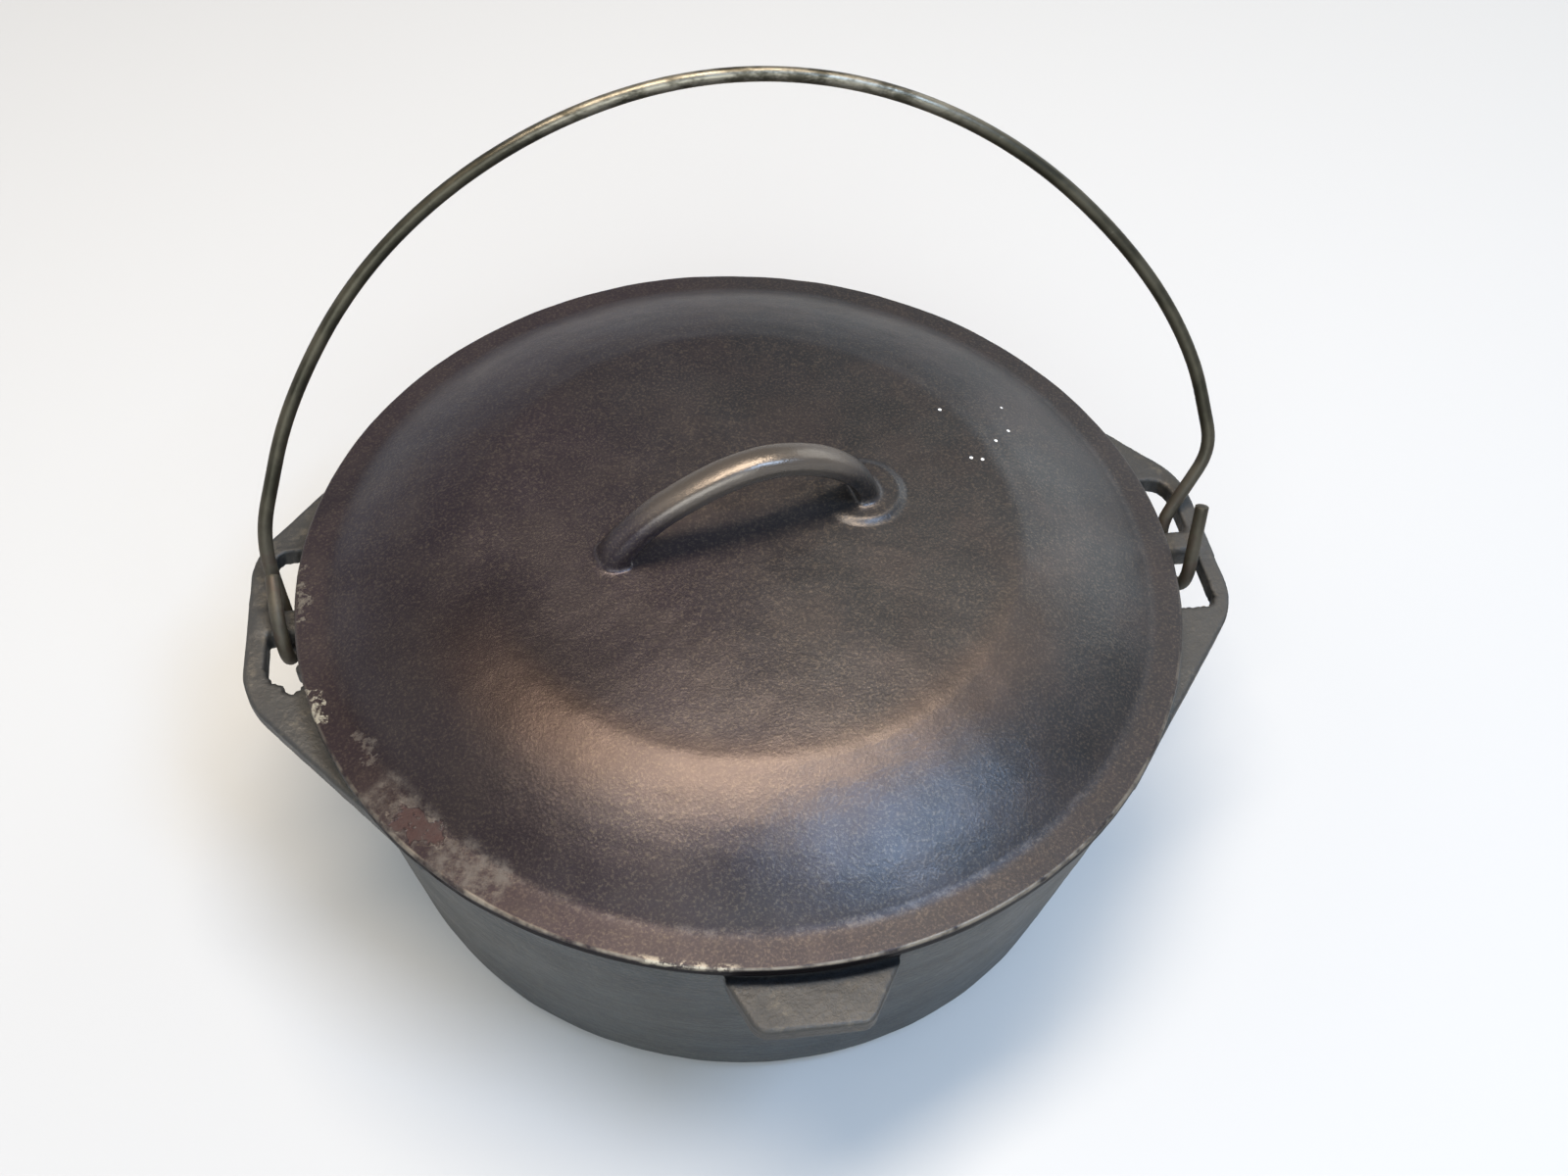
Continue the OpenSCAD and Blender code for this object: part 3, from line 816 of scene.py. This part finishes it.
def lid_iron():
    m = Nodes("seasoned_lid_iron", LID_X)
    x, y, z, r = coordinates(m)
    grain = m.noise(0.8, 3.0, 0.7)
    coarse = m.noise(2.6, 3.0, 0.6, offset=0.2)
    colour, shade = seasoning(m, x, y, grain, coarse, r)
    # hands rub the handle a little brighter, and a painted highlight lightens its upper part
    held_and_highlight = m.ramp(z, 0.126, 0.137)
    colour = m.mix(m.math("MULTIPLY", held_and_highlight, 0.8), colour, (0.128, 0.105, 0.083))
    # the flange is drier and browner than the rest
    flange = m.ramp(r, 0.1140, 0.1240)
    colour = m.mix(m.math("MULTIPLY", flange, 0.3), colour, (0.042, 0.034, 0.034))
    colour = crease_wear_and_highlight(m, colour, y, r)
    colour, scale, rust, scuff = scale_and_rust(m, colour, r)
    colour, face = worn_edge_and_painted_shade(m, colour, y, z, r)
    # stray specks of pale paint or lime
    specks = most(m, [m.spot(place, 0.62, stretch=(1, 1, 0.12)) for place in SPECKS])
    m.link(m.mix(specks, colour, (0.72, 0.72, 0.70)), m.shader.inputs["Base Color"])

    dry = m.math("MAXIMUM", specks, m.math("MULTIPLY", m.math("MAXIMUM", scale, scuff), 0.8))
    m.link(m.math("SUBTRACT", 0.55, m.math("MULTIPLY", dry, 0.55), clamp=True), m.shader.inputs["Metallic"])
    level = m.math("SUBTRACT", 0.80, m.math("MULTIPLY", flange, 0.5))
    level = m.math("SUBTRACT", level, m.math("MULTIPLY", m.math("MAXIMUM", shade, face), 0.4), clamp=True)
    m.link(level, m.shader.inputs["Specular IOR Level"])
    gloss = m.ramp(m.noise(24, 3.0, 0.6, offset=0.7), 0.3, 0.7, 0.32, 0.39)
    matt = m.math("MAXIMUM", dry, m.math("MULTIPLY", flange, 0.6))
    gloss = m.math("ADD", gloss, m.math("MULTIPLY", matt, 0.2))
    m.link(m.math("SUBTRACT", gloss, m.math("MULTIPLY", held_and_highlight, 0.05)), m.shader.inputs["Roughness"])
    m.bump([(grain, 0.072), (coarse, 0.06), (m.noise(9, 2.0, 0.5, offset=0.6), 0.08), (rust, -0.2)])
    return m


def pot_iron():
    m = Nodes("sandy_pot_iron")
    _, _, z, r = coordinates(m)
    streak = m.noise(7, 3.0, 0.6, stretch=(0.2, 0.2, 1.8), offset=0.42)
    grain = m.noise(1.2, 3.0, 0.65)
    cloud = m.ramp(m.noise(50, 3.0, offset=0.61), 0.35, 0.65)
    colour = m.mix(cloud, (0.046, 0.051, 0.053), (0.056, 0.059, 0.057))
    colour = m.mix(m.ramp(streak, 0.45, 0.70, 0.0, 0.40), colour, (0.062, 0.057, 0.050))
    colour = m.mix(m.ramp(grain, 0.48, 0.72, 0.0, 0.60), colour, (0.115, 0.103, 0.082))
    # handling has rubbed the ears and the tab browner and a little brighter
    lug = m.math("MULTIPLY", m.ramp(r, 0.1290, 0.1315), m.ramp(z, 0.080, 0.084))
    colour = m.mix(m.math("MULTIPLY", lug, 0.65), colour, (0.052, 0.047, 0.042))
    rub = m.math("MULTIPLY", lug, m.ramp(m.noise(7, 4.0, 0.7, offset=0.8), 0.55, 0.72))
    colour = m.mix(m.math("MULTIPLY", rub, 0.45), colour, (0.15, 0.13, 0.10))
    # painted shade, near black, under the edge of the lid
    painted_shade_under_lid = m.math("MULTIPLY", m.ramp(r, 0.1312, 0.1300), m.ramp(z, 0.0905, 0.0918))
    painted_shade_under_lid = m.math("MULTIPLY", painted_shade_under_lid, m.ramp(r, 0.1270, 0.1280))
    colour = m.mix(m.math("MULTIPLY", painted_shade_under_lid, 0.9), colour, (0.005, 0.005, 0.006))
    m.link(m.ramp(painted_shade_under_lid, 0.0, 1.0, 0.5, 0.1), m.shader.inputs["Specular IOR Level"])
    m.link(colour, m.shader.inputs["Base Color"])
    m.link(0.5, m.shader.inputs["Metallic"])
    m.link(m.ramp(m.noise(18, 3.0, 0.6, offset=0.3), 0.3, 0.7, 0.50, 0.60), m.shader.inputs["Roughness"])
    m.bump([(grain, 0.19), (m.noise(3.2, 2.0, 0.5, offset=0.2), 0.22), (streak, 0.30)])
    return m


def bail_steel():
    m = Nodes("worn_bail_steel")
    _, _, z, _ = coordinates(m)
    dull = m.noise(14, 4.0, 0.6, offset=0.25)
    fine = m.noise(0.8, 3.0, 0.65)
    colour = m.mix(m.ramp(dull, 0.35, 0.65), (0.040, 0.036, 0.024), (0.075, 0.066, 0.045))
    # hands and hooks keep the crown bright, in patches, and a painted highlight adds to it there
    patch = m.ramp(m.noise(6, 4.0, 0.7, stretch=(0.5, 1, 1), offset=0.5), 0.40, 0.62)
    crown_wear_and_highlight = m.math("MULTIPLY", m.ramp(z, 0.192, 0.209), patch)
    colour = m.mix(m.math("MULTIPLY", crown_wear_and_highlight, 0.75), colour, (0.30, 0.27, 0.21))
    rub = m.ramp(m.noise(2.2, 4.0, 0.7, offset=0.35), 0.62, 0.74, 0.0, 0.4)
    colour = m.mix(rub, colour, (0.16, 0.14, 0.10))
    hooks = m.ramp(z, 0.118, 0.096)
    rusty = m.math("MULTIPLY", hooks, m.ramp(m.noise(4, 3.0, 0.6, offset=0.7), 0.45, 0.65, 0.2, 0.8))
    colour = m.mix(rusty, colour, (0.050, 0.034, 0.024))
    m.link(colour, m.shader.inputs["Base Color"])
    m.link(m.math("SUBTRACT", 0.8, m.math("MULTIPLY", hooks, 0.35)), m.shader.inputs["Metallic"])
    gloss = m.ramp(dull, 0.3, 0.7, 0.36, 0.50)
    gloss = m.math("SUBTRACT", gloss, m.math("MULTIPLY", crown_wear_and_highlight, 0.06))
    m.link(m.math("ADD", gloss, m.math("MULTIPLY", hooks, 0.14)), m.shader.inputs["Roughness"])
    m.bump([(fine, 0.03), (m.noise(2.5, 3.0, 0.6), 0.06)])
    return m


# middle of the bare patch in the scale on the flange, as a place on the lid in mm
RUST_PATCH = (-94.5, -80, 99)
# pale specks on the top of the lid and on the handle, as places on the lid in mm
SPECKS = [
    (74.5, 17.4, 115.5), (80.9, 25.7, 115), (66.1, 39.5, 115.5), (71.2, 18.3, 115.5), (86.5, 31.1, 114),
    (87.5, 42.9, 113.5), (22.4, 1, 142.6)]
# flecks of tan scale beside the left ear: place on the lid and radius in mm
FLECKS = [((-110.8, -49.8, 100), 1.8), ((-108.2, -53.2, 100), 2.2), ((-107.3, -57.8, 100), 1.8)]

lid_iron().use(lid)
pot_iron().use(pot)
bail_steel().use(bail)

for piece, body, slot in ((pot, "pot", "pot_iron"), (lid, "lid", "lid_iron"), (bail, "bail", "bail_steel")):
    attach(piece, body)
    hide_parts(body)


# ---------------------------------------------------------------- floor, light and camera
def floor():
    mesh = bpy.data.meshes.new("floor")
    s = 6.0
    mesh.from_pydata([(-s, -s, 0), (s, -s, 0), (s, s, 0), (-s, s, 0)], [], [(0, 1, 2, 3)])
    obj = bpy.data.objects.new("floor", mesh)
    bpy.context.collection.objects.link(obj)
    mat = bpy.data.materials.new("pale_floor")
    mat.use_nodes = True
    shader = mat.node_tree.nodes["Principled BSDF"]
    shader.inputs["Base Color"].default_value = (0.50, 0.50, 0.495, 1)
    shader.inputs["Roughness"].default_value = 0.9
    mesh.materials.append(mat)


def area_light(name, place, target, size, power, colour):
    data = bpy.data.lights.new(name, "AREA")
    data.shape, data.size, data.size_y = "RECTANGLE", size[0], size[1]
    data.energy, data.color = power, colour
    obj = bpy.data.objects.new(name, data)
    bpy.context.collection.objects.link(obj)
    obj.location = place
    obj.rotation_euler = (Vector(target) - Vector(place)).to_track_quat("-Z", "Y").to_euler()


floor()
area_light("window", (-0.06, 0.17, 1.55), (0, 0, 0.09), (1.15, 0.40), 28, (1.0, 0.86, 0.70))
area_light("sky", (0.47, -0.39, 1.24), (0, 0, 0.09), (0.42, 0.42), 11, (0.45, 0.66, 1.0))
area_light("front", (-0.3, -1.7, 1.2), (0, 0, 0.03), (1.8, 0.9), 26, (0.88, 0.96, 1.0))
area_light("left", (-1.5, 0.3, 1.0), (0, 0, 0.05), (0.9, 1.4), 4, (1.0, 0.98, 0.95))
area_light("right", (1.15, 0.85, 0.85), (0, 0, 0.08), (0.9, 0.8), 6, (0.90, 0.97, 1.0))


def studio_world():
    """Dim overhead and brighter towards the horizon, like a room with pale cloth round the table."""
    world = bpy.data.worlds.new("studio")
    world.use_nodes = True
    tree = world.node_tree
    background = tree.nodes["Background"]
    background.inputs[0].default_value = (0.82, 0.90, 1.0, 1)
    split = tree.nodes.new("ShaderNodeSeparateXYZ")
    tree.links.new(tree.nodes.new("ShaderNodeTexCoord").outputs["Generated"], split.inputs[0])
    ramp = tree.nodes.new("ShaderNodeMapRange")
    ramp.interpolation_type = "SMOOTHSTEP"
    tree.links.new(split.outputs[2], ramp.inputs[0])
    low, high, horizon, overhead = 0.12, 0.45, 0.90, 0.23
    for socket, value in zip(ramp.inputs[1:5], (low, high, horizon, overhead)):
        socket.default_value = value
    tree.links.new(ramp.outputs[0], background.inputs[1])
    bpy.context.scene.world = world


studio_world()


def place_camera(place, azimuth, elevation, roll, lens):
    """Camera with its angles in degrees: from the front, above the floor, and turned about its own axis."""
    azimuth, elevation, roll = (math.radians(a) for a in (azimuth, elevation, roll))
    flat = math.cos(elevation)
    back = Vector((math.sin(azimuth) * flat, -math.cos(azimuth) * flat, math.sin(elevation)))
    right = Vector((0, 0, 1)).cross(back).normalized()
    up = back.cross(right)
    c, s = math.cos(roll), math.sin(roll)
    right, up = right * c + up * s, up * c - right * s
    data = bpy.data.cameras.new("camera")
    data.sensor_width, data.lens = 36, lens
    camera = bpy.data.objects.new("camera", data)
    bpy.context.collection.objects.link(camera)
    camera.matrix_world = Matrix.Translation(place) @ Matrix((right, up, back)).transposed().to_4x4()
    bpy.context.scene.camera = camera


place_camera((-0.0480, -0.2794, 0.4402), azimuth=-12, elevation=51.29, roll=4.23, lens=34.25)
bpy.context.scene.view_settings.view_transform = "Standard"
